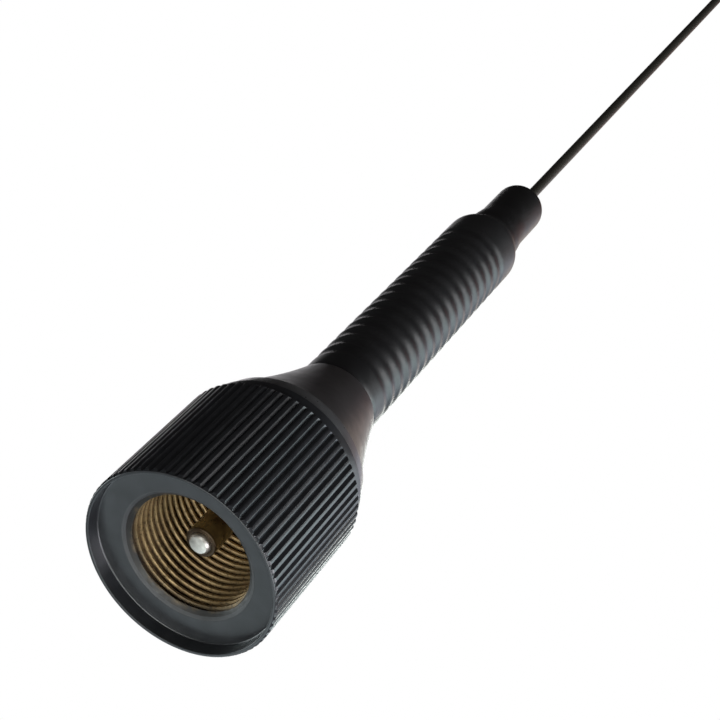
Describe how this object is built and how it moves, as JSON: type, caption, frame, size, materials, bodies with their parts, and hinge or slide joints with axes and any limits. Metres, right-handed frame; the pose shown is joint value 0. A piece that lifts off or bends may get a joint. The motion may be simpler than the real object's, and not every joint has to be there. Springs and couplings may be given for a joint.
{
  "type": "vhf_whip_antenna",
  "caption": "Whip antenna with a knurled coupling nut, a sprung centre contact in its threaded mouth, a conical cover and a rubber jacketed flexible base",
  "frame": {"origin": "centre of the coupling nut's front rim, which is the bottom of the bounding box", "axes": "+Z runs along the antenna's axis from the mouth to the whip's tip; the whip stands up with its mouth down"},
  "size_m": [0.0364, 0.0364, 0.48],
  "materials": {
    "black_coated_brass": "satin",
    "grey_metal": "satin",
    "bare_brass": "satin",
    "aged_brass": "satin",
    "silver_plate": "satin",
    "spring_steel": "satin",
    "copper": "satin",
    "dark_metal": "satin",
    "seal_rubber": "matte",
    "black_plastic": "matte",
    "white_plastic": "matte",
    "jacket_rubber": "satin",
    "olive_coated_steel": "satin"
  },
  "bodies": {
    "base": {"base_body": "grey_metal", "cap_nut": "bare_brass", "thrust_washer": "bare_brass", "dust_seal": "seal_rubber", "front_insulator": "black_plastic", "contact_post": "aged_brass", "contact_spring": "spring_steel", "lock_washer": "spring_steel", "post_nut": "bare_brass", "feed_wire": "copper", "cone_cover": "dark_metal", "cone_seal": "seal_rubber", "stud_insulator": "white_plastic", "spring_stud": "bare_brass", "stud_nut": "bare_brass"},
    "nut": {"coupling_nut": "black_coated_brass"},
    "pin": {"contact_pin": "silver_plate"},
    "flex_core": {"flex_spring": "spring_steel", "shunt_braid": "copper", "flex_jacket": "jacket_rubber"},
    "whip": {"whip_holder": "bare_brass", "set_screws": "spring_steel", "whip_rod": "olive_coated_steel"}
  },
  "joints": [
    {"name": "nut_spin", "type": "hinge", "parent": "base", "child": "nut", "pos_m": [0, 0, 0], "axis": [0, 0, 1], "continuous": true},
    {"name": "pin_slide", "type": "slide", "parent": "base", "child": "pin", "axis": [0, 0, 1], "range_m": [0, 0.0009], "stiffness_N_per_m": 600, "springref_m": -0.001, "deforming": ["contact_spring"]},
    {"name": "flex_lower", "type": "hinge", "parent": "base", "child": "flex_core", "pos_m": [0, 0, 0.074], "axis": [1, 0, 0], "range_deg": [-25, 25], "stiffness_Nm_per_rad": 2, "deforming": ["flex_spring", "flex_jacket", "shunt_braid"]},
    {"name": "flex_upper", "type": "hinge", "parent": "flex_core", "child": "whip", "pos_m": [0, 0, 0.106], "axis": [0, 1, 0], "range_deg": [-25, 25], "stiffness_Nm_per_rad": 2}
  ]
}
